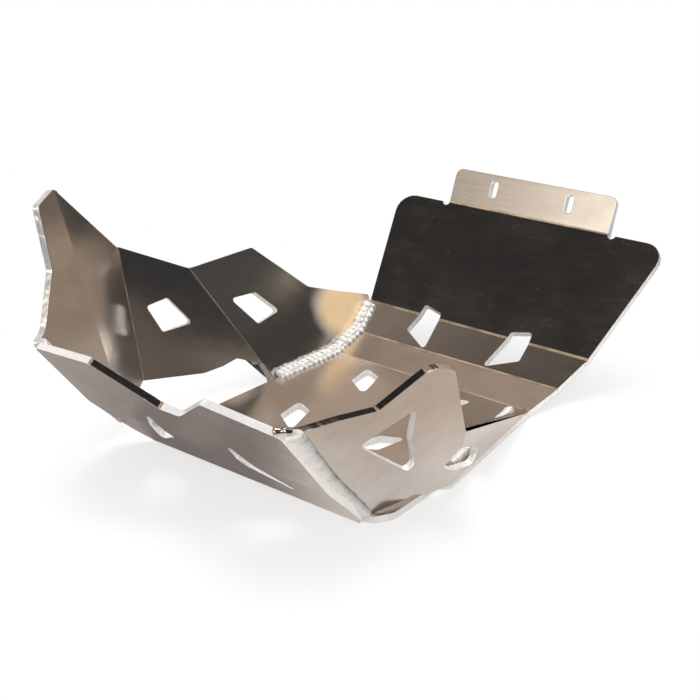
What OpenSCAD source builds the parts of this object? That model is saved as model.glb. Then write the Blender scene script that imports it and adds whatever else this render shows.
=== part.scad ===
// Skid plate for the underside of a motorcycle: a folded pan of aluminium sheet with two welded side wings.
// X runs along the plate towards the bolting flange, Y across it, Z up. The origin is the centre of the
// floor's underside.
// Every sheet part is drawn as a flat blank and folded about its bend lines. A folded wall is the space
// between two nested sets of planes, one set a sheet's thickness outside the other, and it is trimmed in
// each facet's own frame. A hole that crosses a bend is written once.

/* [Sheet] */
// Thickness of the sheet
sheet_t = 5; // [3:0.5:6]

/* [Floor] */
// Length of the flat floor between its two bends
floor_len = 192.5; // [170:0.5:220]
// Width of the floor
floor_w = 182; // [170:1:196]
// How far each side of the floor comes in by its far bend
floor_taper = 1; // [0:0.5:3]
// How far the right tab stands out beside the floor
tab_out = 14; // [8:0.5:18]
// Length of the right tab
tab_right_len = 62; // [50:1:66]
// Length of the left tab
tab_left_len = 26; // [12:1:30]
// Radius of the tab corner next to the end plate
tab_r = 14; // [4:1:16]

/* [Floor cut-outs] */
// Length of each four-sided cut-out in the floor
kite_len = 40; // [30:1:46]
// Width of each four-sided cut-out in the floor
kite_w = 27; // [20:1:30]
// Distance from the near bend to the tip of the near pair
kite_x = 62; // [55:1:70]
// Distance from one pair to the next along the floor
kite_pitch = 80; // [66:1:84]
// Distance from the centre line to each cut-out
kite_y = 21.5; // [14:0.5:30]
// Corner radius of the floor cut-outs
kite_r = 2.5; // [1:0.5:4]

/* [Strips up to the panel] */
// Angle of the first bend after the floor
strip_a_bend = 13; // [8:0.5:18]
// Length of the first strip
strip_a_len = 33; // [26:0.5:40]
// Angle of the second bend
strip_b_bend = 17.5; // [12:0.5:22]
// Length of the second strip
strip_b_len = 32; // [26:0.5:38]
// How far each side stands out beyond the floor's at the bend between the two strips
strip_mid_out = 2.5; // [0:0.5:6]
// How far each side stands out at the bend between the second strip and the panel
strip_top_out = 11; // [7:0.5:15]

/* [Large panel] */
// Angle of the bend below the large panel
panel_bend = 16; // [10:0.5:20]
// Length of the large panel up its slope
panel_len = 102; // [85:1:115]
// Width of the large panel at its top
panel_w = 250; // [225:1:265]
// Radius of the two top corners
panel_r = 14; // [6:1:20]

/* [Panel cut-outs] */
// Distance from the centre line to the inner corner of each panel cut-out
gap_inner_y = 27.5; // [20:0.5:34]
// Distance from the centre line to the outer corner
gap_outer_y = 52.5; // [46:0.5:60]
// Height of the cut-out above the panel's bend
gap_above = 9; // [5:0.5:14]
// Depth of the cut-out below the panel's bend
gap_below = 31; // [20:0.5:31.5]
// Corner radius of the panel cut-outs
gap_r = 2; // [1:0.5:4]

/* [Bolting flange] */
// Angle of the bend between panel and flange
flange_bend = 22; // [10:0.5:30]
// Height of the flange up its slope
flange_h = 29; // [26:0.5:36]
// Width of the flange
flange_w = 148; // [110:1:160]
// Radius of the flange's top corners
flange_r = 6; // [2:0.5:10]
// Distance between the two slots
slot_spacing = 70; // [50:1:90]
// Width of each slot
slot_w = 6.5; // [4.5:0.5:9]
// Length of each slot, up the flange
slot_len = 14.5; // [11:0.5:16]
// Height of the slot centres above the flange's bend
slot_up = 17; // [13:0.5:18]
// Radius of the two relief notches beside the flange's bend
relief_r = 3; // [1.5:0.5:4]

/* [End plate] */
// Angle of the bend between the floor and the end plate
end_bend = 43.7; // [38:0.5:50]
// Length of the end plate's lower part
end_low_len = 57.5; // [50:0.5:64]
// Angle of the crease between the end plate's lower and upper parts
crease_bend = 8.2; // [4:0.2:12]
// Length of the end plate from the bend to its top corners
end_len = 120; // [110:1:130]
// How far the top corners stand out beyond the floor's sides
end_top_out = 12; // [9:0.5:16]
// How far the sides above the near bend stand out beyond the floor's sides
end_side_out = 12; // [7:0.5:14]
// Distance from the bend to the peaks beside the notch
peak_len = 127; // [121:1:136]
// Distance from the centre line to each peak beside the notch
peak_y = 47; // [38:1:56]
// Distance from the bend to the bottom of the notch
notch_len = 92.5; // [84:0.5:102]
// Half width of the notch at its bottom
notch_half = 8; // [4:0.5:14]
// Radius at the bottom corners of the notch
notch_r = 9; // [3:0.5:14]

/* [End plate cut-outs] */
// Distance from the centre line to the upper corner of each cut-out
delta_y = 33; // [24:0.5:38]
// Distance from the bend to the upper corner of each cut-out
delta_top = 79; // [72:0.5:82]
// Length of each cut-out down the plate
delta_len = 59; // [40:1:62]
// How far each cut-out spreads sideways
delta_w = 31; // [20:1:34]
// Corner radius of these cut-outs
delta_r = 2.5; // [1:0.5:4]

/* [Left wing] */
// How far the left wing leans outwards
left_lean = 23; // [18:0.5:28]
// Distance from the near bend to the wing's foot
left_foot_x = 121; // [115:0.5:126]
// Height of the wing's flat top edge, up its slope
left_top_v = 98; // [88:1:108]
// Distance from the near bend to the wing's far top corner
left_peak_u = 144; // [134:1:154]
// Angle of the wing's first bend, outwards
left_bend_1 = 22; // [16:0.5:27]
// Angle of the wing's second bend, inwards
left_bend_2 = 44; // [38:0.5:48]
// Angle of the wing's third bend, outwards
left_bend_3 = 6.5; // [3:0.5:10]
// Height of the wing's highest point, up the blank
left_horn_v = 181; // [170:1:192]

/* [Right wing] */
// How far the right wing leans outwards
right_lean = 16; // [12:0.5:20]
// How far the right wing turns away from the floor's length
right_turn = 9.3; // [8.5:0.1:10]
// Angle of the right wing's bend, inwards
right_bend = 22; // [18:0.5:26]
// Height of the top edge near the end plate, up the blank
right_low_v = 83; // [76:1:90]
// Height of the right wing's highest point, up the blank
right_top_v = 106; // [98:1:114]
// Height of the notch in the right wing's top edge
right_notch_v = 50; // [44:1:56]

/* [Wing cut-outs] */
// Corner radius of the cut-outs in the wings
wing_hole_r = 2; // [1:0.5:3]
// Distance between the left wing's two cut-outs
left_hole_pitch = 72; // [64:1:78]

/* [Welds] */
// Radius of the beads along the inside corners
bead_r = 4.6; // [3:0.1:6]
// Radius of the seams along the outer corners
seam_r = 4.2; // [3:0.1:5]

/* [Hidden] */
reach = 420;
arc_n = 6;

// where the near bend's inner line lies when the outer corner is at X = 0
hinge_x = sheet_t * tan(end_bend / 2);

// the origin lies above the middle of the floor
mid_x = hinge_x + floor_len / 2;
module placed() {
    translate([-mid_x, 0, 0]) children();
}

function unit(v) = v / norm(v);
function xy(p) = [p[0], p[1]];

// the points of one corner: the corner itself, or an arc of radius r that is kept inside its two edges
function corner(a, b, c, r) =
    r <= 0 ? [b] :
    let (u = unit(a - b),
         w = unit(c - b),
         h = acos(max(-1, min(1, u * w))) / 2,
         rr = min(r, 0.48 * min(norm(a - b), norm(c - b)) * tan(h)),
         o = b + unit(u + w) * rr / sin(h),
         p = b + u * rr / tan(h),
         q = b + w * rr / tan(h),
         a0 = atan2(p[1] - o[1], p[0] - o[0]),
         a1 = atan2(q[1] - o[1], q[0] - o[0]),
         s = a1 - a0 > 180 ? a1 - a0 - 360 : a1 - a0 < -180 ? a1 - a0 + 360 : a1 - a0)
    [for (i = [0:arc_n]) o + rr * [cos(a0 + s * i / arc_n), sin(a0 + s * i / arc_n)]];

// an outline whose corners are given as [x, y] or [x, y, radius]
function rounded(c) =
    let (n = len(c))
    [for (i = [0:n - 1])
        each corner(xy(c[(i + n - 1) % n]), xy(c[i]), xy(c[(i + 1) % n]), len(c[i]) > 2 ? c[i][2] : 0)];
function mirror_y(c) = [for (i = [len(c) - 1:-1:0]) [c[i][0], -c[i][1], len(c[i]) > 2 ? c[i][2] : 0]];
function moved(c, d) = [for (p = c) [p[0] + d[0], p[1] + d[1], len(p) > 2 ? p[2] : 0]];

// two points just past a bend line, so that the regions on both sides of it overlap
function past(p, q, inset = 0.3) =
    let (e = unit(q - p), n = [e[1], -e[0]], d = sheet_t * 0.6)
    [p + d * n + inset * e, q + d * n - inset * e];

// a bend line made longer by a quarter of a millimetre, so that no corner is shared by two regions
function longer(p, q) = let (e = 0.25 * unit(q - p)) [p - e, q + e];

// the end of a facet at a bend line, with its corners just before the line, narrower past it
function over(p, q) =
    let (e = unit(q - p), n = [e[1], -e[0]])
    concat([p - 0.4 * n], past(p, q, sheet_t * 0.4), [q - 0.4 * n]);

// the space on the inner side of a facet's plane, moved outwards by w
module side_of(w) {
    far = reach + 40 - 8 * w;
    translate([-far, -far, -w]) cube([2 * far, 2 * far, far]);
}

// what a facet keeps of the folded wall
module region(outline) {
    translate([0, 0, -2.2 * sheet_t]) linear_extrude(3.4 * sheet_t) polygon(rounded(outline));
}

// a cutter through a facet
module cutter(outline) {
    translate([0, 0, -2.6 * sheet_t]) linear_extrude(4.2 * sheet_t) polygon(rounded(outline));
}

// turns what lies to the left of a line in the blank about that line, inwards for a positive angle
module fold(p, q, bend) {
    a = atan2(q[1] - p[1], q[0] - p[0]);
    translate([p[0], p[1], 0]) rotate([0, 0, a]) rotate([bend, 0, 0]) rotate([0, 0, -a])
        translate([-p[0], -p[1], 0]) children();
}

// the pan's bend lines, in blank coordinates
u3 = floor_len;
u2 = u3 + strip_a_len;
u1 = u2 + strip_b_len;
u0 = u1 + panel_len;
half = floor_w / 2;
half3 = half - floor_taper;
half2 = half + strip_mid_out;
half1 = half + strip_top_out;
half0 = panel_w / 2;
halff = flange_w / 2;
end_half_w = half + end_top_out;
end_low_w = half + end_side_out;

// inclination of each piece and the height of its upper line, in the object's own frame
inc_a = strip_a_bend;
inc_b = inc_a + strip_b_bend;
inc_p = inc_b + panel_bend;
inc_f = inc_p + flange_bend;
x3 = hinge_x + floor_len;
z3 = sheet_t;
x2 = x3 + strip_a_len * cos(inc_a);
z2 = z3 + strip_a_len * sin(inc_a);
x1 = x2 + strip_b_len * cos(inc_b);
z1 = z2 + strip_b_len * sin(inc_b);
x0 = x1 + panel_len * cos(inc_p);
z0 = z1 + panel_len * sin(inc_p);
xf = x0 + flange_h * cos(inc_f);
zf = z0 + flange_h * sin(inc_f);

// the right wing's foot follows this line on the floor: its outer face at Z = 0
right_far_y = half3 - 1.2;
function right_foot_y(x) = right_far_y + (x3 - x) * tan(right_turn);

// four-sided cut-out in the floor, with its tip at the origin
kite = [[0, 0, kite_r],
        [kite_len * 0.36, kite_w * 0.84, kite_r],
        [kite_len, kite_w, kite_r],
        [kite_len * 0.8, kite_w * 0.39, kite_r]];

// four-sided cut-out that crosses the bend below the panel
gap = [[u1 - gap_below, gap_inner_y, gap_r],
       [u1 - gap_below * 0.56, gap_outer_y, gap_r],
       [u1 + gap_above, gap_outer_y - 2.5, gap_r],
       [u1 + gap_above * 0.55, gap_inner_y + 5.5, gap_r]];

// the frames of the pan's facets, one after the other
module at_strip_a() fold([u3, half3], [u3, -half3], strip_a_bend) children();
module at_strip_b() at_strip_a() fold([u2, half2], [u2, -half2], strip_b_bend) children();
module at_panel() at_strip_b() fold([u1, half1], [u1, -half1], panel_bend) children();
module at_flange() at_panel() fold([u0, halff], [u0, -halff], flange_bend) children();
module at_end_low() fold([0, -half], [0, half], end_bend) children();
module at_end_top() at_end_low() fold([-end_low_len, -end_low_w], [-end_low_len, end_low_w], crease_bend) children();

// the space inside the pan's planes, moved outwards by w
module pan_space(w) {
    intersection() {
        side_of(w);
        at_strip_a() side_of(w);
        at_strip_b() side_of(w);
        at_panel() side_of(w);
        at_flange() side_of(w);
        at_end_low() side_of(w);
        at_end_top() side_of(w);
    }
}

// the outlines of the pan's facets
floor_outline = concat(
    [[0, -half],
     [3.5, -half - tab_out * 0.55, 3],
     [tab_r, -half - tab_out, tab_r],
     [tab_right_len * 0.78, -half - tab_out * 0.93, 6],
     [tab_right_len, -half - tab_out * 0.8, 3],
     [tab_right_len + 7, -right_foot_y(tab_right_len + 7 + hinge_x), 3],
     [u3, -half3]],
    past([u3, -half3], [u3, half3]),
    [[u3, half3],
     [left_foot_x, half],
     [tab_left_len + 9, half, 6],
     [tab_left_len, half + tab_out * 0.6, 6],
     [tab_r, half + tab_out * 0.6, 4],
     [3.5, half + tab_out * 0.4, 3],
     [0, half]],
    past([0, half], [0, -half]));
strip_a_outline = concat(
    [[u3, -half3], [u2, -half2]], past([u2, -half2], [u2, half2]),
    [[u2, half2], [u3, half3]], past([u3, half3], [u3, -half3]));
strip_b_outline = concat(
    [[u2, -half2], [u1, -half1]], past([u1, -half1], [u1, half1]),
    [[u1, half1], [u2, half2]], past([u2, half2], [u2, -half2]));
panel_outline = concat(
    [[u1, -half1], [u0, -half0, panel_r], [u0, -halff]], past([u0, -halff], [u0, halff]),
    [[u0, halff], [u0, half0, panel_r], [u1, half1]], past([u1, half1], [u1, -half1]));
flange_outline = concat(
    [[u0, -halff], [u0 + flange_h, -halff, flange_r], [u0 + flange_h, halff, flange_r], [u0, halff]],
    past([u0, halff], [u0, -halff]));
end_low_outline = concat(
    [[0, half],
     [-11, end_low_w - 3, 6],
     [-34, end_low_w, 20],
     [-end_low_len, end_low_w]],
    past([-end_low_len, end_low_w], [-end_low_len, -end_low_w]),
    [[-end_low_len, -end_low_w],
     [-34, -end_low_w, 20],
     [-11, -end_low_w + 3, 6],
     [0, -half]],
    past([0, -half], [0, half]));
end_top_outline = concat(
    [[-end_low_len, end_low_w],
     [-end_len, end_half_w, 3],
     [-peak_len, peak_y, 5],
     [-notch_len - 1.5, notch_half, notch_r],
     [-notch_len - 1.5, -notch_half, notch_r],
     [-peak_len, -peak_y, 5],
     [-end_len, -end_half_w, 3],
     [-end_low_len, -end_low_w]],
    past([-end_low_len, -end_low_w], [-end_low_len, end_low_w]));

// the two cut-outs of the end plate, one on each side of the centre line
delta = [[-delta_top, delta_y, delta_r],
         [-delta_top + delta_len, delta_y + delta_w, delta_r],
         [-delta_top + delta_len * 0.56, delta_y - 1.5, delta_r]];

// a shape and its mirror image across the centre line
module both(outline) {
    cutter(outline);
    cutter(mirror_y(outline));
}

module slots() {
    for (s = [-1, 1])
        translate([u0 + slot_up, s * slot_spacing / 2, -2 * sheet_t]) {
            for (e = [-1, 1])
                translate([e * (slot_len - slot_w) / 2, 0, 0]) cylinder(h = 4 * sheet_t, d = slot_w, $fn = 32);
            translate([-(slot_len - slot_w) / 2, -slot_w / 2, 0]) cube([slot_len - slot_w, slot_w, 4 * sheet_t]);
        }
}

module reliefs() {
    for (s = [-1, 1])
        translate([u0, s * (halff + relief_r), -2 * sheet_t]) cylinder(h = 4 * sheet_t, r = relief_r, $fn = 32);
}

module skid_pan() {
    color([0.66, 0.63, 0.59]) translate([hinge_x, 0, sheet_t]) difference() {
        intersection() {
            difference() {
                pan_space(sheet_t);
                pan_space(0);
            }
            union() {
                region(floor_outline);
                at_strip_a() region(strip_a_outline);
                at_strip_b() region(strip_b_outline);
                at_panel() region(panel_outline);
                at_flange() region(flange_outline);
                at_end_low() region(end_low_outline);
                at_end_top() region(end_top_outline);
            }
        }
        for (i = [0, 1]) both(moved(kite, [kite_x + i * kite_pitch, kite_y]));
        // what crosses a bend is cut halfway between its two facets
        at_strip_b() fold([u1, half1], [u1, -half1], panel_bend / 2) both(gap);
        at_panel() reliefs();
        at_flange() slots();
        at_end_low() fold([-end_low_len, -end_low_w], [-end_low_len, end_low_w], crease_bend / 2) both(delta);
    }
}

// the left wing's blank: bend lines from the foot up, then the corners of each facet
lw_d0 = [left_foot_x - 3.8, 13];
lw_d1 = [left_peak_u - 65.5, left_top_v];
lw_a0 = [24, 29.5];
lw_a1 = [29.5, left_top_v + 29];
lw_b0 = [-14, 16];
lw_b1 = [-37, left_horn_v];

module lw_at_3() fold(lw_d0, lw_d1, -left_bend_1) children();
module lw_at_2() lw_at_3() fold(lw_a0, lw_a1, left_bend_2) children();
module lw_at_1() lw_at_2() fold(lw_b0, lw_b1, -left_bend_3) children();

// the space inside the left wing's planes, moved outwards by w
module left_space(w) {
    intersection() {
        union() {
            side_of(w);
            lw_at_3() side_of(w);
        }
        union() {
            lw_at_2() side_of(w);
            lw_at_1() side_of(w);
        }
    }
}

module left_wing_body() {
    foot = 1.1 * sheet_t;
    h2 = [[35 + left_hole_pitch, 67, wing_hole_r], [61 + left_hole_pitch, 65, wing_hole_r],
          [79 + left_hole_pitch, 45.5, wing_hole_r], [54 + left_hole_pitch, 42, wing_hole_r]];
    h1 = [[39.5, 80.5, wing_hole_r], [56.5, 82, wing_hole_r], [70.5, 59, wing_hole_r], [47, 59, wing_hole_r]];
    facet_4 = concat(
        [[left_foot_x, 2, 3],
         [left_foot_x + 1, -foot],
         [u3, -foot],
         [u3 + 34, 1],
         [u3 + 61, 19],
         [u3 + 62, 30.5, 3],
         [u3 + 28, 42.5, 40],
         [u3 - 3, 54.5, 12],
         [left_peak_u, left_top_v, 4]],
        over(lw_d1, lw_d0));
    d = longer(lw_d0, lw_d1);
    a = longer(lw_a0, lw_a1);
    b = longer(lw_b0, lw_b1);
    facet_3 = concat(
        over(d[0], d[1]),
        over(a[1], a[0]),
        [[70, 20, 12], [86, 20.5, 8], [98, 22.8, 4]]);
    facet_2 = concat(over(lw_a0, lw_a1), over(lw_b1, lw_b0));
    facet_1 = concat(
        over(b[0], b[1]),
        [[-39.5, left_horn_v + 0.3, 0.5],
         [-57.5, left_horn_v - 6, 4],
         [-58, left_horn_v - 48, 6],
         [-78.5, left_horn_v - 82, 12],
         [-89.5, left_horn_v - 87.5, 3]]);
    translate([hinge_x, half + 2.6, sheet_t]) rotate([90 - left_lean, 0, 0]) difference() {
        intersection() {
            difference() {
                left_space(sheet_t);
                left_space(0);
            }
            union() {
                region(facet_4);
                lw_at_3() region(facet_3);
                lw_at_2() region(facet_2);
                lw_at_1() region(facet_1);
            }
        }
        cutter(h2);
        lw_at_3() cutter(h1);
    }
}

module left_wing() {
    color([0.58, 0.55, 0.51]) left_wing_body();
}

// the right wing's blank, measured on its outer face along the line of its foot
rw_n = [61.5, right_notch_v];
rw_b = [68.5, 4];

module rw_at_1() fold(rw_b, rw_n, -right_bend) children();

// the space inside the right wing's planes, moved inwards by w
module right_space(w) {
    far = reach + 8 * w;
    intersection() {
        translate([-far, -far, -w - far]) cube([2 * far, 2 * far, far]);
        rw_at_1() translate([-far, -far, -w - far]) cube([2 * far, 2 * far, far]);
    }
}

module right_wing_body() {
    hole_a = [[-28, 58.5, 3], [31, 22.5, 3.5], [14, 54, 12], [9, 78.5, 4]];
    hole_b = [[54, 22.5, 2.5], [103, 4.5, 3.5], [98.5, 22, 3.5], [62, 37, 3.5]];
    far = (x3 - hinge_x) / cos(right_turn);
    b = longer(rw_b, rw_n);
    facet_2 = concat([[73, 2.2], [far + 8, 2.2], [far + 8, 3.4], [far - 6, 7]], over(rw_n, rw_b));
    facet_1 = concat(
        over(b[0], b[1]),
        [[29, right_top_v - 3.5, 6],
         [14, right_top_v + 1, 6],
         [5, right_top_v - 1, 4],
         [-22, right_low_v, 5],
         [-49, right_low_v - 1, 8],
         [-90, right_low_v - 5, 3],
         [-2, -2.5, 2],
         [17, 0.5],
         [38, 5],
         [47, 2.5]]);
    translate([0, -right_foot_y(0), 0]) rotate([0, 0, right_turn]) rotate([90 + right_lean, 0, 0]) difference() {
        intersection() {
            difference() {
                right_space(0);
                right_space(sheet_t);
            }
            union() {
                region(facet_2);
                rw_at_1() region(facet_1);
            }
        }
        rw_at_1() cutter(hole_a);
        // this hole crosses the bend, so it is cut halfway between the two facets
        fold(rw_b, rw_n, -right_bend / 2) translate([0, 0, -5 * sheet_t])
            linear_extrude(10 * sheet_t) polygon(rounded(hole_b));
    }
}

// the wing stands on the inner faces of the floor and the end plate
module right_wing() {
    color([0.62, 0.59, 0.55]) intersection() {
        right_wing_body();
        translate([hinge_x, 0, sheet_t]) intersection() {
            side_of(0);
            at_strip_a() side_of(0);
            at_end_low() side_of(0);
            at_end_top() side_of(0);
        }
    }
}

// a straight run of weld between two points, a little longer at both ends
module run(p, q, r) {
    d = q - p;
    translate(p) rotate([0, atan2(norm([d[0], d[1]]), d[2]), atan2(d[1], d[0])])
        translate([0, 0, -0.3 * r]) cylinder(h = norm(d) + 0.6 * r, r = r, $fn = 12);
}

// the bead inside the left corner, along the floor and up the two strips
module left_floor_weld() {
    y = half - 1.5;
    lift = sheet_t + 1.5;
    color([0.8, 0.78, 0.74]) difference() {
        union() {
            run([left_foot_x + hinge_x + 3, y, lift], [x3, y, lift], bead_r);
            run([x3, y, lift], [x2, half2 - 1, z2 + 1.8], bead_r);
            run([x2, half2 - 1, z2 + 1.8], [x1 - 3, half1 - 3.5, z1 + 1], bead_r);
        }
        skid_pan();
        left_wing_body();
    }
}

// the bead inside the right corner
module right_floor_weld() {
    inset = sheet_t + 1.5;
    xa = tab_right_len + 24;
    xb = x3 - 8;
    color([0.8, 0.78, 0.74]) difference() {
        run([xa, inset - right_foot_y(xa), sheet_t + 1], [xb, inset - right_foot_y(xb), sheet_t + 1], bead_r);
        skid_pan();
        right_wing_body();
    }
}

// where the end plate's top corners lie
end_x = hinge_x - end_low_len * cos(end_bend) - (end_len - end_low_len) * cos(end_bend + crease_bend);
end_z = sheet_t + end_low_len * sin(end_bend) + (end_len - end_low_len) * sin(end_bend + crease_bend);
crease_x = hinge_x - end_low_len * cos(end_bend);
crease_z = sheet_t + end_low_len * sin(end_bend);

// the seam between the end plate and the left wing
module left_corner_weld() {
    color([0.74, 0.72, 0.68]) difference() {
        union() {
            run([end_x, end_half_w, end_z], [crease_x, end_low_w + 1, crease_z + 1], seam_r);
            run([crease_x, end_low_w + 1, crease_z + 1], [-12, end_low_w, 16], seam_r);
        }
        skid_pan();
        left_wing_body();
    }
}

// the seam between the end plate and the right wing
module right_corner_weld() {
    color([0.74, 0.72, 0.68]) difference() {
        union() {
            run([end_x, -end_half_w + 1, end_z], [crease_x, -end_low_w + 5, crease_z + 1], seam_r);
            run([crease_x, -end_low_w + 5, crease_z + 1], [-3, -end_low_w + 9, 9], seam_r);
        }
        skid_pan();
        right_wing_body();
    }
}

placed() skid_pan();
placed() left_wing();
placed() right_wing();
placed() left_floor_weld();
placed() right_floor_weld();
placed() left_corner_weld();
placed() right_corner_weld();
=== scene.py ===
# Skid plate for the underside of a motorcycle: a folded pan of aluminium sheet with two welded side
# wings. It lies on a pale floor, seen from its near left corner, with the bolting flange at the far end.
import math

import bmesh
import bpy
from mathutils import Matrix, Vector


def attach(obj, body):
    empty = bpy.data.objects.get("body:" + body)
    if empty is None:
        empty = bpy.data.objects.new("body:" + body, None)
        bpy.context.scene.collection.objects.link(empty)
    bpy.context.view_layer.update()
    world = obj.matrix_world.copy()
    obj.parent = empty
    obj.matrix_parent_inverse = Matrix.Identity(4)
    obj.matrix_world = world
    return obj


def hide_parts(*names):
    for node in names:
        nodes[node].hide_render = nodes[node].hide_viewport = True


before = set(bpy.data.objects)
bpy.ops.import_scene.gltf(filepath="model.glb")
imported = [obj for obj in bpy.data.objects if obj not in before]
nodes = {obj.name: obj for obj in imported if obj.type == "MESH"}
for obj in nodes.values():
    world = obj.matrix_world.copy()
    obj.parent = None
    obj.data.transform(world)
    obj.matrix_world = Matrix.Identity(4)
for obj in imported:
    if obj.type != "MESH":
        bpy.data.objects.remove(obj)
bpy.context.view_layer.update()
scene = bpy.context.scene
bpy.ops.object.select_all(action="DESELECT")


# The camera: it stands where the photograph was taken, a little above the near left corner and looking
# down at the plate, and its lens frames a square picture of 700 by 700.
CAMERA_PLACE = (-0.6337, -0.5204, 0.3900)
CAMERA_TURN = (math.radians(68.04), 0, math.radians(-50.80))
LENS = 66.34
SENSOR = 36
FARTHEST_SEEN = 50

bpy.ops.object.camera_add(location=CAMERA_PLACE, rotation=CAMERA_TURN)
camera = bpy.context.active_object
camera.name = "photo_camera"
camera.data.lens = LENS
camera.data.sensor_width = SENSOR
camera.data.clip_end = FARTHEST_SEEN
scene.camera = camera
scene.view_settings.view_transform = "Standard"


# The studio: a white floor that fades into the white around it, one large soft lamp overhead and a weak
# one beside the camera. In the metal the floor shows as painted shade, with a painted pool of light and
# painted dark beyond it, and the room as a warm grey with several dark parts and a few bright windows.
FLOOR_SIZE = 12
FLOOR_LEVEL = -0.0005
FLOOR_WHITE = (0.90, 0.895, 0.89)
# what the metal sees of the floor: its painted shade, and the painted pool of light with dark beyond it
FLOOR_SHADE_IN_METAL = (0.46, 0.41, 0.37)
PAINTED_POOL_DIM = (0.21, 0.19, 0.19)
PAINTED_POOL_LIT = (0.86, 0.80, 0.76)
PAINTED_POOL_WARM = (0.46, 0.36, 0.28)
PAINTED_POOL_DARK = (0.035, 0.034, 0.034)
PURE_WHITE = (1, 1, 1, 1)
ROOM_LIGHT = (0.62, 0.62, 0.62, 1)

bpy.ops.mesh.primitive_plane_add(size=FLOOR_SIZE, location=(0, 0, FLOOR_LEVEL))
ground = bpy.context.active_object
ground.name = "studio_floor"


def maths(tree, operation, first, second=None, third=None, clamp=False):
    """Adds a Math node whose inputs are sockets or numbers, and returns its output."""
    node = tree.nodes.new("ShaderNodeMath")
    node.operation = operation
    node.use_clamp = clamp
    for index, value in enumerate((first, second, third)):
        if value is None:
            continue
        if isinstance(value, (int, float)):
            node.inputs[index].default_value = value
        else:
            tree.links.new(value, node.inputs[index])
    return node.outputs[0]


def ramp(tree, value, low, high):
    """Turns a value between low and high into a soft mask from 0 to 1."""
    node = tree.nodes.new("ShaderNodeMapRange")
    node.interpolation_type = "SMOOTHSTEP"
    node.inputs["From Min"].default_value = low
    node.inputs["From Max"].default_value = high
    tree.links.new(value, node.inputs["Value"])
    return node.outputs["Result"]


def blended(tree, mask, first, second):
    """Mixes two colours, given as sockets or as values, by a mask."""
    node = tree.nodes.new("ShaderNodeMix")
    node.data_type = "RGBA"
    for socket, value in ((node.inputs[0], mask), (node.inputs[6], first), (node.inputs[7], second)):
        if isinstance(value, tuple):
            socket.default_value = (*value, 1)
        else:
            tree.links.new(value, socket)
    return node.outputs[2]


def mixed(tree, mask, first, second):
    """Mixes two shaders by a mask."""
    node = tree.nodes.new("ShaderNodeMixShader")
    for socket, value in zip(node.inputs, (mask, first, second)):
        tree.links.new(value, socket)
    return node.outputs[0]


floor_paint = bpy.data.materials.new("studio_floor_white_with_painted_pool")
floor_paint.use_nodes = True
tree = floor_paint.node_tree
tree.nodes.clear()
out = tree.nodes.new("ShaderNodeOutputMaterial")
path = tree.nodes.new("ShaderNodeLightPath")
place = tree.nodes.new("ShaderNodeTexCoord")
reach = tree.nodes.new("ShaderNodeVectorMath")
reach.operation = "LENGTH"
tree.links.new(place.outputs["Object"], reach.inputs[0])
split = tree.nodes.new("ShaderNodeSeparateXYZ")
tree.links.new(place.outputs["Object"], split.inputs[0])
from_middle = reach.outputs["Value"]
to_the_right = maths(tree, "MULTIPLY", split.outputs["Y"], -1)

# the floor's white, which the metal sees darker and warmer as painted shade, and a painted pool of
# light that only the metal sees: dim on the left, lit on the right, then warm, then dark
matt = tree.nodes.new("ShaderNodeBsdfDiffuse")
white_or_painted_shade = blended(tree, path.outputs["Is Glossy Ray"], FLOOR_WHITE, FLOOR_SHADE_IN_METAL)
tree.links.new(white_or_painted_shade, matt.inputs["Color"])
pool = blended(tree, ramp(tree, to_the_right, 0.00, 0.10), PAINTED_POOL_DIM, PAINTED_POOL_LIT)
pool = blended(tree, ramp(tree, to_the_right, 0.115, 0.18), pool, PAINTED_POOL_WARM)
beyond = ramp(tree, from_middle, 0.28, 0.45)
pool = blended(tree, beyond, pool, PAINTED_POOL_DARK)
painted_pool_glow = tree.nodes.new("ShaderNodeEmission")
tree.links.new(pool, painted_pool_glow.inputs["Color"])
share = maths(tree, "MAXIMUM", beyond, 0.6)
share = maths(tree, "MULTIPLY", share, path.outputs["Is Glossy Ray"])
surface = mixed(tree, share, matt.outputs[0], painted_pool_glow.outputs[0])

# for the camera the floor glows white, a little less around the plate, where its shadow falls
glow = tree.nodes.new("ShaderNodeEmission")
glow.inputs["Color"].default_value = PURE_WHITE
white_share = maths(tree, "MULTIPLY_ADD", ramp(tree, from_middle, 0.14, 0.34), 0.30, 0.70)
white_share = maths(tree, "MULTIPLY", white_share, path.outputs["Is Camera Ray"])
surface = mixed(tree, white_share, surface, glow.outputs[0])
tree.links.new(surface, out.inputs["Surface"])
ground.data.materials.append(floor_paint)

# the room in the metal, each part laid over those before it: its direction, the angles in degrees within
# which it is full and past which it is gone, and its colour
ROOM_GREY = (0.42, 0.33, 0.265)
ROOM_PARTS = (
    ((-0.35, 0.50, 0.79), 17, 26, (0.012, 0.0115, 0.0115)),
    ((0.08, 0.40, 0.91), 7, 12, (0.05, 0.045, 0.04)),
    ((0.02, -1.0, 0.04), 28, 40, (0.030, 0.030, 0.031)),
    ((0.20, -0.68, 0.70), 17, 27, (0.035, 0.032, 0.031)),
    ((0.68, -0.70, 0.24), 17, 30, (0.06, 0.058, 0.056)),
    ((0.40, 0.71, 0.58), 7.5, 12.5, (0.04, 0.04, 0.04)),
    ((0.70, 0.22, 0.68), 7, 13, (0.02, 0.02, 0.02)),
    ((-0.72, 0.60, 0.34), 3, 7, (0.17, 0.15, 0.13)),
    ((-0.93, 0.15, 0.34), 15, 23, (1.9, 1.72, 1.5)),
    ((-0.32, -0.55, 0.77), 8, 14, (0.015, 0.015, 0.015)),
    ((0.38, -0.15, 0.91), 5, 9, (4, 3.9, 3.7)),
    ((-0.60, -0.72, 0.35), 6, 11, (3.5, 3.4, 3.2)),
)

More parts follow.
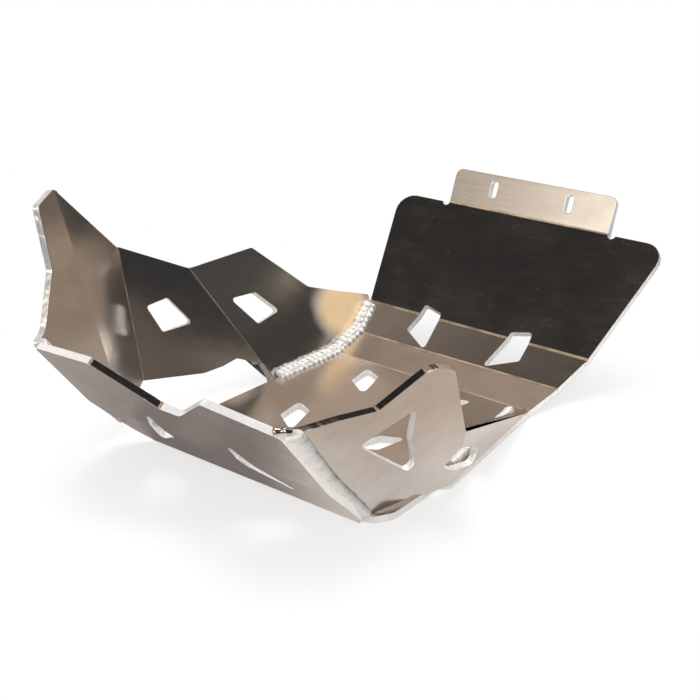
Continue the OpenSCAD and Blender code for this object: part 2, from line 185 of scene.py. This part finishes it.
room = bpy.data.worlds.new("studio_room")
room.use_nodes = True
scene.world = room
tree = room.node_tree
tree.nodes.clear()
out = tree.nodes.new("ShaderNodeOutputWorld")
place = tree.nodes.new("ShaderNodeTexCoord")
path = tree.nodes.new("ShaderNodeLightPath")
tone = ROOM_GREY
for direction, full, gone, colour in ROOM_PARTS:
    facing = tree.nodes.new("ShaderNodeVectorMath")
    facing.operation = "DOT_PRODUCT"
    facing.inputs[1].default_value = Vector(direction).normalized()
    tree.links.new(place.outputs["Generated"], facing.inputs[0])
    outer, inner = math.cos(math.radians(gone)), math.cos(math.radians(full))
    tone = blended(tree, ramp(tree, facing.outputs["Value"], outer, inner), tone, colour)
mirror_room = tree.nodes.new("ShaderNodeBackground")
tree.links.new(tone, mirror_room.inputs["Color"])
plain_room = tree.nodes.new("ShaderNodeBackground")
plain_room.inputs["Color"].default_value = ROOM_LIGHT
white_room = tree.nodes.new("ShaderNodeBackground")
white_room.inputs["Color"].default_value = PURE_WHITE
surround = mixed(tree, path.outputs["Is Glossy Ray"], plain_room.outputs[0], mirror_room.outputs[0])
surround = mixed(tree, path.outputs["Is Camera Ray"], surround, white_room.outputs[0])
tree.links.new(surround, out.inputs["Surface"])


def soft_lamp(name, place, aim, size, power):
    """A square lamp that looks at a point and isn't seen in the metal."""
    bpy.ops.object.light_add(type="AREA", location=place)
    lamp = bpy.context.active_object
    lamp.name = name
    lamp.data.size = size
    lamp.data.energy = power
    lamp.visible_glossy = False
    lamp.rotation_euler = (Vector(aim) - Vector(place)).to_track_quat("-Z", "Y").to_euler()


soft_lamp("overhead_lamp", place=(0.25, 0.35, 1.5), aim=(0, 0, 0), size=1.2, power=26)
soft_lamp("near_lamp", place=(-1.1, -0.9, 0.9), aim=(0, 0, 0.05), size=0.9, power=7)


# The pan is one sheet of 5 mm aluminium, cut to its outline and folded in a press: the end plate, the
# floor, two strips, the large panel and the bolting flange. Its cut edges are eased, and its bends have a
# small round on their inner side.
BEND_EASE = 0.0008
EDGE_EASE = 0.00045
SHALLOWEST_BEND = math.radians(3.5)
SHARP_BEND = math.radians(12)
CUT_EDGE = math.radians(55)
SHORTEST_BEND = 0.012
SHORTEST_CUT = 0.00005
WIDEST_CUT = 0.006
SLIVER = 0.0003
SAME_POINT = 0.00002
FLAT = math.radians(0.6)
SMOOTH_UP_TO = math.radians(34)

# a sheet's materials by number: its faces, its outer cut edge, its sharp bends (a painted golden
# highlight on the pan and the left wing), the walls of its cut-outs, and the polished part of its cut
# edge
FACE, RIM, BEND, HOLE, POLISHED = range(5)


def breadth(face):
    """About the width of a long, narrow face."""
    return 2 * face.calc_area() / face.calc_perimeter()


def is_cut(face):
    """A narrow face belongs to the cut edge unless it lies in the plane of a wide one beside it."""
    if breadth(face) >= WIDEST_CUT:
        return False
    for edge in face.edges:
        for other in edge.link_faces:
            if other != face and breadth(other) >= WIDEST_CUT and edge.calc_face_angle(0) < CUT_EDGE / 2:
                return False
    return True


def select_edges(mesh, lowest, highest, shortest):
    """Selects the edges of a mesh in edit mode whose angle and length lie in a range."""
    for part in (*mesh.faces, *mesh.edges, *mesh.verts):
        part.select = False
    for edge in mesh.edges:
        if len(edge.link_faces) != 2:
            continue
        angle = edge.calc_face_angle(0)
        narrowest = min(breadth(face) for face in edge.link_faces)
        beside_sliver = angle <= CUT_EDGE and narrowest <= SLIVER
        if lowest < angle <= highest and edge.calc_length() > shortest and not beside_sliver:
            edge.select = True
    mesh.select_flush_mode()


def islands(faces):
    """Groups faces that share an edge, the largest group first."""
    left = set(faces)
    groups = []
    while left:
        group = [left.pop()]
        for face in group:
            for edge in face.edges:
                for other in edge.link_faces:
                    if other in left:
                        left.remove(other)
                        group.append(other)
        groups.append(group)
    return sorted(groups, key=lambda group: -sum(face.calc_area() for face in group))


def folded_piece(node_name, piece_name, metals, is_polished=None):
    """Copies a sheet node of the model, merges its triangles and eases its bends and cut edges."""
    piece = bpy.data.objects.new(piece_name, nodes[node_name].data.copy())
    scene.collection.objects.link(piece)
    piece.data.materials.clear()
    for metal in metals:
        piece.data.materials.append(metal)
    bpy.ops.object.select_all(action="DESELECT")
    piece.select_set(True)
    bpy.context.view_layer.objects.active = piece
    bpy.ops.object.mode_set(mode="EDIT")
    bpy.ops.mesh.select_mode(type="EDGE")
    bpy.ops.mesh.customdata_custom_splitnormals_clear()
    bpy.ops.mesh.select_all(action="SELECT")
    bpy.ops.mesh.remove_doubles(threshold=SAME_POINT)
    bpy.ops.mesh.dissolve_limited(angle_limit=FLAT)
    mesh = bmesh.from_edit_mesh(piece.data)
    for face in mesh.faces:
        face.material_index = FACE
    for number, group in enumerate(islands([face for face in mesh.faces if is_cut(face)])):
        for face in group:
            face.material_index = RIM if number == 0 else HOLE
            if is_polished and is_polished(face.calc_center_median(), face.normal):
                face.material_index = POLISHED

    # sharp bends first, then shallow ones, then the cut edges
    for lowest, highest, shortest, ease, segments, metal in (
        (SHARP_BEND, CUT_EDGE, SHORTEST_BEND, BEND_EASE, 4, BEND),
        (SHALLOWEST_BEND, SHARP_BEND, SHORTEST_BEND, BEND_EASE, 3, -1),
        (CUT_EDGE, math.pi, SHORTEST_CUT, EDGE_EASE, 2, -1),
    ):
        select_edges(bmesh.from_edit_mesh(piece.data), lowest, highest, shortest)
        bmesh.update_edit_mesh(piece.data)
        bpy.ops.mesh.bevel(
            offset=ease,
            offset_type="OFFSET",
            segments=segments,
            clamp_overlap=False,
            material=metal,
        )
    bpy.ops.object.mode_set(mode="OBJECT")

    # where several bends meet, a corner can be thrown off the sheet, and is put back on it
    for vert in piece.data.vertices:
        found, on_sheet, _, _ = nodes[node_name].closest_point_on_mesh(vert.co)
        if found and (on_sheet - vert.co).length > BEND_EASE * 0.6:
            vert.co = on_sheet
    bpy.ops.object.shade_smooth_by_angle(angle=SMOOTH_UP_TO)
    even = piece.modifiers.new("even_normals", "WEIGHTED_NORMAL")
    even.keep_sharp = True
    even.weight = 90
    bpy.ops.object.modifier_apply(modifier=even.name)
    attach(piece, "root")
    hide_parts(node_name)


def new_group(name, numbers, outputs):
    """Starts a shader node group with named number inputs, a tint and named outputs."""
    group = bpy.data.node_groups.new(name, "ShaderNodeTree")
    for label, value in numbers:
        socket = group.interface.new_socket(label, in_out="INPUT", socket_type="NodeSocketFloat")
        socket.default_value = value
    group.interface.new_socket("Tint", in_out="INPUT", socket_type="NodeSocketColor")
    for label, kind in outputs:
        group.interface.new_socket(label, in_out="OUTPUT", socket_type=kind)
    entry = group.nodes.new("NodeGroupInput")
    result = group.nodes.new("NodeGroupOutput")
    return group, entry, result


def noise(tree, scale, detail=3.0, stretch=(1, 1, 1), turn=(0, 0, 0), rough=0.55):
    """A noise on the object's own coordinates, stretched and turned."""
    coordinates = tree.nodes.new("ShaderNodeTexCoord")
    mapping = tree.nodes.new("ShaderNodeMapping")
    mapping.vector_type = "TEXTURE"
    mapping.inputs["Scale"].default_value = [1 / factor for factor in stretch]
    mapping.inputs["Rotation"].default_value = [math.radians(angle) for angle in turn]
    texture = tree.nodes.new("ShaderNodeTexNoise")
    texture.inputs["Scale"].default_value = scale
    texture.inputs["Detail"].default_value = detail
    texture.inputs["Roughness"].default_value = rough
    tree.links.new(coordinates.outputs["Object"], mapping.inputs["Vector"])
    tree.links.new(mapping.outputs["Vector"], texture.inputs["Vector"])
    return texture.outputs["Fac"]


# the mill finish: rolling grain along the sheet, smudges from handling, fine speckle and short scratches
SMUDGE_TINT = (0.50, 0.44, 0.39)
GRAIN_TINT = (1, 1, 1)
SPECKLE_TINT = (0.45, 0.42, 0.4)
SCRATCH_TINT = (0.98, 0.97, 0.96)
SCRATCH_STRETCH = (1, 60, 60)
SCRATCH_TURNS = ((0, -46, 63), (64, 0, 98))

mill, entry, result = new_group(
    "mill_finish",
    [("Scratches", 1.0), ("Dullness", 0.16), ("Grain", 0.5)],
    [("Color", "NodeSocketColor"), ("Roughness", "NodeSocketFloat"), ("Height", "NodeSocketFloat")],
)
clouds = noise(mill, 14, 4.0, (1, 1, 1.3))
small_clouds = noise(mill, 75, 5.0, (1, 0.8, 1))
grain = entry.outputs["Grain"]
speckle = noise(mill, 1500, 2.0)
one_way, other_way = (
    ramp(mill, noise(mill, 30, 1.0, SCRATCH_STRETCH, turn, 0.3), 0.76, 0.82) for turn in SCRATCH_TURNS
)
scratches = maths(mill, "MAXIMUM", one_way, other_way)
scratches = maths(mill, "MULTIPLY", scratches, entry.outputs["Scratches"], clamp=True)
smudge = maths(mill, "MULTIPLY", ramp(mill, clouds, 0.38, 0.66), 0.6)
smudge = maths(mill, "MULTIPLY_ADD", ramp(mill, small_clouds, 0.4, 0.7), 0.4, smudge)
tone = entry.outputs["Tint"]
for mask, amount, tint in (
    (smudge, 0.30, SMUDGE_TINT),
    (ramp(mill, grain, 0.35, 0.7), 0.10, GRAIN_TINT),
    (ramp(mill, speckle, 0.45, 0.75), 0.06, SPECKLE_TINT),
    (scratches, 0.30, SCRATCH_TINT),
):
    tone = blended(mill, maths(mill, "MULTIPLY", mask, amount), tone, tint)
mill.links.new(tone, result.inputs["Color"])
rough = maths(mill, "MULTIPLY_ADD", smudge, 0.07, entry.outputs["Dullness"])
rough = maths(mill, "MULTIPLY_ADD", grain, 0.07, rough)
rough = maths(mill, "MULTIPLY_ADD", scratches, 0.08, rough, clamp=True)
mill.links.new(rough, result.inputs["Roughness"])
height = maths(mill, "MULTIPLY", grain, 0.45)
height = maths(mill, "MULTIPLY_ADD", speckle, 0.08, height)
height = maths(mill, "MULTIPLY_ADD", clouds, 1.2, height)
mill.links.new(height, result.inputs["Height"])


def bare_metal(name, metallic):
    """Starts a metal: returns the material, its node tree and its shader."""
    material = bpy.data.materials.new(name)
    material.use_nodes = True
    metal = material.node_tree.nodes["Principled BSDF"]
    metal.inputs["Metallic"].default_value = metallic
    return material, material.node_tree, metal


def add_relief(tree, metal, height, strength, depth):
    """Gives a metal's surface the small relief of a height pattern."""
    relief = tree.nodes.new("ShaderNodeBump")
    relief.inputs["Strength"].default_value = strength
    relief.inputs["Distance"].default_value = depth
    tree.links.new(height, relief.inputs["Height"])
    tree.links.new(relief.outputs["Normal"], metal.inputs["Normal"])


def sheet_metal(name, tint, rolled, scratches=1.0, dullness=0.16):
    """Bare aluminium sheet with the mill finish, whose grain runs as the sheet was rolled."""
    material, tree, metal = bare_metal(name, 1.0)
    finish = tree.nodes.new("ShaderNodeGroup")
    finish.node_tree = mill
    finish.inputs["Scratches"].default_value = scratches
    finish.inputs["Dullness"].default_value = dullness
    finish.inputs["Tint"].default_value = (*tint, 1)
    tree.links.new(noise(tree, 70, 3.0, rolled), finish.inputs["Grain"])
    tree.links.new(finish.outputs["Color"], metal.inputs["Base Color"])
    tree.links.new(finish.outputs["Roughness"], metal.inputs["Roughness"])
    add_relief(tree, metal, finish.outputs["Height"], 0.6, 0.00006)
    return material


def cut_metal(name, tint, metallic, dullness, ribs, wavy=8.0):
    """The sheet's cut edges: brighter than its faces, wavy from the cut, with fine lines across them."""
    material, tree, metal = bare_metal(name, metallic)
    lines = noise(tree, 900, 2.0, (1, 1, 0.06))
    dark_lines = maths(tree, "MULTIPLY", ramp(tree, lines, 0.4, 0.7), ribs)
    tone = blended(tree, dark_lines, tint, (0.50, 0.48, 0.46))
    tree.links.new(tone, metal.inputs["Base Color"])
    tree.links.new(maths(tree, "MULTIPLY_ADD", lines, 0.14, dullness), metal.inputs["Roughness"])
    waves = noise(tree, 70, 2.0)
    height = maths(tree, "MULTIPLY_ADD", waves, wavy, maths(tree, "MULTIPLY", lines, 0.12))
    add_relief(tree, metal, height, 1.0, 0.0003)
    return material


def painted_bend_highlight_metal(name, tint):
    """A painted golden highlight along a bend's inner line, broken by darker brown patches: satin, finely
    grained.
    """
    material, tree, metal = bare_metal(name, 0.82)
    patches = noise(tree, 45, 4.0)
    highlight_patches = maths(tree, "MULTIPLY", ramp(tree, patches, 0.38, 0.66), 0.85)
    tree.links.new(blended(tree, highlight_patches, tint, (0.42, 0.34, 0.26)), metal.inputs["Base Color"])
    tree.links.new(maths(tree, "MULTIPLY_ADD", patches, 0.16, 0.24), metal.inputs["Roughness"])
    add_relief(tree, metal, noise(tree, 1200, 2.0), 0.5, 0.00005)
    return material


def in_notch(centre, normal):
    """The left side of the notch in the end plate's top edge, which faces the right wing."""
    return centre.x < -0.16 and centre.y > 0 and centre.z > 0.07 and normal.y < -0.3


# the sharp bends of the pan and the left wing carry this painted golden highlight
painted_bend_highlight = painted_bend_highlight_metal("bend_painted_highlight", (0.96, 0.80, 0.56))
hole_wall = cut_metal("hole_wall_aluminium", (0.98, 0.975, 0.96), metallic=0.35, dullness=0.14, ribs=0.3)
dark_edge = cut_metal(
    "polished_cut_edge",
    (0.93, 0.925, 0.92),
    metallic=1.0,
    dullness=0.05,
    ribs=0.3,
    wavy=2.0,
)
folded_piece(
    "skid_pan",
    "folded_pan",
    [
        sheet_metal("pan_aluminium", (0.86, 0.83, 0.80), (7, 0.35, 7), scratches=0.75),
        cut_metal("pan_cut_edge", (0.99, 0.985, 0.97), metallic=0.4, dullness=0.16, ribs=0.2),
        painted_bend_highlight,
        hole_wall,
        dark_edge,
    ],
    in_notch,
)


# The left wing is a sheet of the same aluminium, folded into four facets. It is welded beside the floor's
# left edge and along the end plate's side, and a painted golden reflection lies beside the bead.
# where the painted golden reflection lies on the wing, how far it reaches, its two golds, and how much
# less metallic it is
GOLDEN_PATCH_CENTRE = (0.124, 0.104, 0.034)
GOLDEN_PATCH_REACH = (0.038, 0.05, 0.028)
REFLECTED_GOLD = (1.0, 0.74, 0.42)
REFLECTED_PALE_GOLD = (0.80, 0.66, 0.49)
GOLDEN_PATCH_MATT_SHARE = 0.9


def paint_golden_reflection(material):
    """Paints a golden reflection on the sheet beside a weld: the patch is golden and far less metallic,
    so the lamps light it.
    """
    tree = material.node_tree
    metal = tree.nodes["Principled BSDF"]
    coordinates = tree.nodes.new("ShaderNodeTexCoord")
    mapping = tree.nodes.new("ShaderNodeMapping")
    mapping.vector_type = "TEXTURE"
    mapping.inputs["Location"].default_value = GOLDEN_PATCH_CENTRE
    mapping.inputs["Scale"].default_value = GOLDEN_PATCH_REACH
    length = tree.nodes.new("ShaderNodeVectorMath")
    length.operation = "LENGTH"
    tree.links.new(coordinates.outputs["Object"], mapping.inputs["Vector"])
    tree.links.new(mapping.outputs["Vector"], length.inputs[0])
    uneven = maths(tree, "MULTIPLY_ADD", noise(tree, 30, 2.0), 0.5, length.outputs["Value"])
    painted_golden_patch = maths(tree, "SUBTRACT", 1, ramp(tree, uneven, 0.80, 1.35))
    patches = ramp(tree, noise(tree, 24, 2.0, (1, 1, 0.6)), 0.35, 0.65)
    gold_tone = blended(tree, patches, REFLECTED_GOLD, REFLECTED_PALE_GOLD)
    clean = metal.inputs["Base Color"].links[0].from_socket
    tree.links.new(blended(tree, painted_golden_patch, clean, gold_tone), metal.inputs["Base Color"])
    tree.links.new(maths(tree, "MULTIPLY_ADD", painted_golden_patch, -GOLDEN_PATCH_MATT_SHARE, 1.0), metal.inputs["Metallic"])


def at_side_gap(centre, normal):
    """The lower edge of the left wing where it stands clear of the floor."""
    return -0.05 < centre.x < 0.04 and centre.z < 0.04


left_wing_metal = sheet_metal("left_wing_aluminium", (0.86, 0.825, 0.78), (0.35, 7, 7), dullness=0.12)
# a painted golden reflection beside the bead
paint_golden_reflection(left_wing_metal)
folded_piece(
    "left_wing",
    "left_side_wing",
    [
        left_wing_metal,
        cut_metal("left_wing_cut_edge", (0.97, 0.965, 0.95), metallic=0.6, dullness=0.18, ribs=0.5),
        painted_bend_highlight,
        hole_wall,
        dark_edge,
    ],
    at_side_gap,
)


# The right wing is a smaller sheet with one bend. It stands on the floor's right edge, and its long
# triangular cut-out lightens it. Its cut edges are the smoothest of the three sheets.
right_wing_metal = sheet_metal("right_wing_aluminium", (0.87, 0.84, 0.81), (0.35, 7, 7))
folded_piece("right_wing", "right_side_wing", [right_wing_metal, dark_edge, right_wing_metal, hole_wall])


# The bead inside the left corner is laid by hand in two rows of overlapping ripples, from the wing's foot
# along the floor's edge and up both strips. A plain core under them closes the valley between the rows.
LEFT_ROUTE = [
    (0.0278, 0.0898, 0.0062),
    (0.0962, 0.0898, 0.0062),
    (0.1284, 0.0932, 0.0140),
    (0.1528, 0.0990, 0.0296),
]
LEFT_UP = (0, -0.55, 0.83)

# a row of weld: mesh rings to a ripple and sides around it, the steps over which its route's corners are
# rounded, how far a ripple trails at the sides, how steep its front is, and the length of an end in radii
RINGS_PER_RIPPLE = 9
SIDES = 18
CORNER_ROUNDING = (-0.005, -0.0025, 0, 0.0025, 0.005)
LOOK_AHEAD = 0.004
RIPPLE_CURVE = 0.32
RIPPLE_STEEPNESS = 1.6
END_LENGTH = 1.1


def lay_row(name, route, up, radius, pitch, ripple, aside=0.0, wide=(1.0, 1.0), shift=0.0, uneven=0.0):
    """One row of weld: a closed tube along a route, with the curved ripples that the torch leaves."""
    points = [Vector(point) for point in route]
    legs = [(b - a).length for a, b in zip(points, points[1:])]
    total = sum(legs)
    upward = Vector(up).normalized()

    def along(distance):
        """The point at a distance along the route."""
        distance = min(max(distance, 0), total)
        for start, end, leg in zip(points, points[1:], legs):
            if distance <= leg or end == points[-1]:
                return start.lerp(end, distance / leg)
            distance -= leg

    def swelling(distance, angle):
        """How thick the ripples make the row: each is steep in front, and no two are quite the same."""
        beat = distance / pitch + shift - RIPPLE_CURVE * (1 - abs(math.sin(angle)))
        wave = beat - math.floor(beat)
        swell = 1 + ripple * (1 - wave) ** RIPPLE_STEEPNESS - ripple * 0.35
        swell *= 1 + 0.05 * math.sin(distance * 410 + shift * 9) + 0.03 * math.sin(distance * 937)
        chance = math.sin((math.floor(beat) + 7 * shift) * 12.9898) * 43.7585
        swell *= 1 + uneven * (chance - math.floor(chance) - 0.5)
        end_taper = min(1.0, min(distance, total - distance) / (radius * END_LENGTH))
        return swell * math.sqrt(max(0.0, 1 - (1 - end_taper) ** 2))

    rings = int(total / pitch * RINGS_PER_RIPPLE)
    bpy.ops.mesh.primitive_grid_add(x_subdivisions=rings, y_subdivisions=SIDES, size=1)
    row = bpy.context.active_object
    row.name = name
    for vert in row.data.vertices:
        share = min(max(vert.co.x + 0.5, 0), 1)
        angle = (vert.co.y + 0.5) * 2 * math.pi
        distance = share * total
        nearby = (along(distance + step) for step in CORNER_ROUNDING)
        centre = sum(nearby, Vector()) / len(CORNER_ROUNDING)
        heading = (along(distance + LOOK_AHEAD) - along(distance - LOOK_AHEAD)).normalized()
        side = heading.cross(upward).normalized()
        rise = side.cross(heading)
        swell = swelling(distance, angle)
        width = wide[0] + (wide[1] - wide[0]) * share
        wander = 0.05 * radius * math.sin(distance * 260 + shift * 5)
        out_by = side * (math.cos(angle) * radius * width * swell + aside + wander)
        vert.co = centre + out_by + rise * math.sin(angle) * radius * swell
    bpy.ops.object.mode_set(mode="EDIT")
    bpy.ops.mesh.select_all(action="SELECT")
    bpy.ops.mesh.remove_doubles(threshold=0.00001)
    bpy.ops.mesh.normals_make_consistent(inside=False)
    bpy.ops.object.mode_set(mode="OBJECT")
    bpy.ops.object.shade_smooth()
    return row


def bead_of(name, rows, node_name):
    """Joins the rows of a weld into one piece that stands for the plain run in the model."""
    bpy.ops.object.select_all(action="DESELECT")
    for row in rows:
        row.select_set(True)
    bpy.context.view_layer.objects.active = rows[0]
    if len(rows) > 1:
        bpy.ops.object.join()
    bead = bpy.context.active_object
    bead.name = name
    bpy.ops.object.transform_apply(location=True, rotation=True, scale=True)
    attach(bead, "root")
    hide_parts(node_name)
    return bead


def weld_metal(name, tint, dullness, soot, metallic):
    """Clean, bright weld metal: each ripple is glossy, with a little soot and oxide in patches."""
    material, tree, metal = bare_metal(name, metallic)
    patches = noise(tree, 260, 4.0)
    sooty = maths(tree, "MULTIPLY", ramp(tree, patches, 0.45, 0.75), soot)
    tree.links.new(blended(tree, sooty, tint, (0.42, 0.40, 0.38)), metal.inputs["Base Color"])
    tree.links.new(maths(tree, "MULTIPLY_ADD", patches, 0.18, dullness), metal.inputs["Roughness"])
    add_relief(tree, metal, noise(tree, 1500, 3.0), 0.5, 0.0001)
    return material


bead_metal = weld_metal("weld_bead_metal", (0.99, 0.98, 0.96), dullness=0.04, soot=0.30, metallic=0.42)
left_rows = [
    lay_row("bead_core", LEFT_ROUTE, LEFT_UP, radius=0.0030, pitch=0.0040, ripple=0.05),
    lay_row(
        "bead_lower",
        LEFT_ROUTE,
        LEFT_UP,
        radius=0.0028,
        pitch=0.0056,
        ripple=0.50,
        aside=-0.0023,
        uneven=0.30,
    ),
    lay_row(
        "bead_upper",
        LEFT_ROUTE,
        LEFT_UP,
        radius=0.0028,
        pitch=0.0056,
        ripple=0.50,
        aside=0.0026,
        shift=0.45,
        uneven=0.30,
    ),
]
left_bead = bead_of("left_floor_bead", left_rows, "left_floor_weld")
left_bead.data.materials.append(bead_metal)


# The bead inside the right corner joins the right wing to the floor. It is one row over a plain core, and
# the wing hides it from the camera.
RIGHT_CORE_ROUTE = [(-0.0122, -0.0975, 0.0062), (0.0880, -0.0812, 0.0062)]
RIGHT_ROW_ROUTE = [(-0.0122, -0.0970, 0.0068), (0.0880, -0.0807, 0.0068)]
RIGHT_UP = (0, 0.5, 0.86)

right_rows = [
    lay_row("right_core", RIGHT_CORE_ROUTE, RIGHT_UP, radius=0.0030, pitch=0.003, ripple=0.03),
    lay_row("right_row", RIGHT_ROW_ROUTE, RIGHT_UP, radius=0.0034, pitch=0.003, ripple=0.22),
]
right_bead = bead_of("right_floor_bead", right_rows, "right_floor_weld")
right_bead.data.materials.append(bead_metal)


# The seams along the end plate's outer corners are wide and dressed almost flat, so they are satin with
# fine ripple marks. The right one is wider at its top and ends there in a few small, shiny lumps.
LEFT_SEAM_ROUTE = [(-0.1765, 0.1030, 0.0935), (-0.1378, 0.1038, 0.0457), (-0.1110, 0.1030, 0.0165)]
LEFT_SEAM_UP = (-0.55, 0.60, -0.58)
RIGHT_SEAM_ROUTE = [(-0.1753, -0.1038, 0.0930), (-0.1366, -0.1006, 0.0466), (-0.0993, -0.0986, 0.0086)]
RIGHT_SEAM_UP = (-0.585, -0.557, -0.590)
LUMPS_ROUTE = [(-0.1815, -0.0960, 0.0938), (-0.1765, -0.1010, 0.0938), (-0.1705, -0.1055, 0.0925)]
LUMPS_UP = (-0.3, 0, 0.9)

seam_metal = weld_metal("weld_seam_metal", (0.92, 0.905, 0.89), dullness=0.26, soot=0.3, metallic=0.6)
left_seam_row = lay_row(
    "left_seam_row",
    LEFT_SEAM_ROUTE,
    LEFT_SEAM_UP,
    radius=0.0040,
    pitch=0.0022,
    ripple=0.10,
    wide=(1.35, 1.0),
)
left_seam_row.data.materials.append(seam_metal)
bead_of("left_corner_seam", [left_seam_row], "left_corner_weld")

right_seam_row = lay_row(
    "right_seam_row",
    RIGHT_SEAM_ROUTE,
    RIGHT_SEAM_UP,
    radius=0.0036,
    pitch=0.0019,
    ripple=0.10,
    wide=(2.1, 0.9),
)
right_seam_row.data.materials.append(seam_metal)
seam_lumps = lay_row(
    "right_seam_lumps",
    LUMPS_ROUTE,
    LUMPS_UP,
    radius=0.0023,
    pitch=0.0070,
    ripple=0.30,
)
seam_lumps.data.materials.append(dark_edge)
bead_of("right_corner_seam", [right_seam_row, seam_lumps], "right_corner_weld")
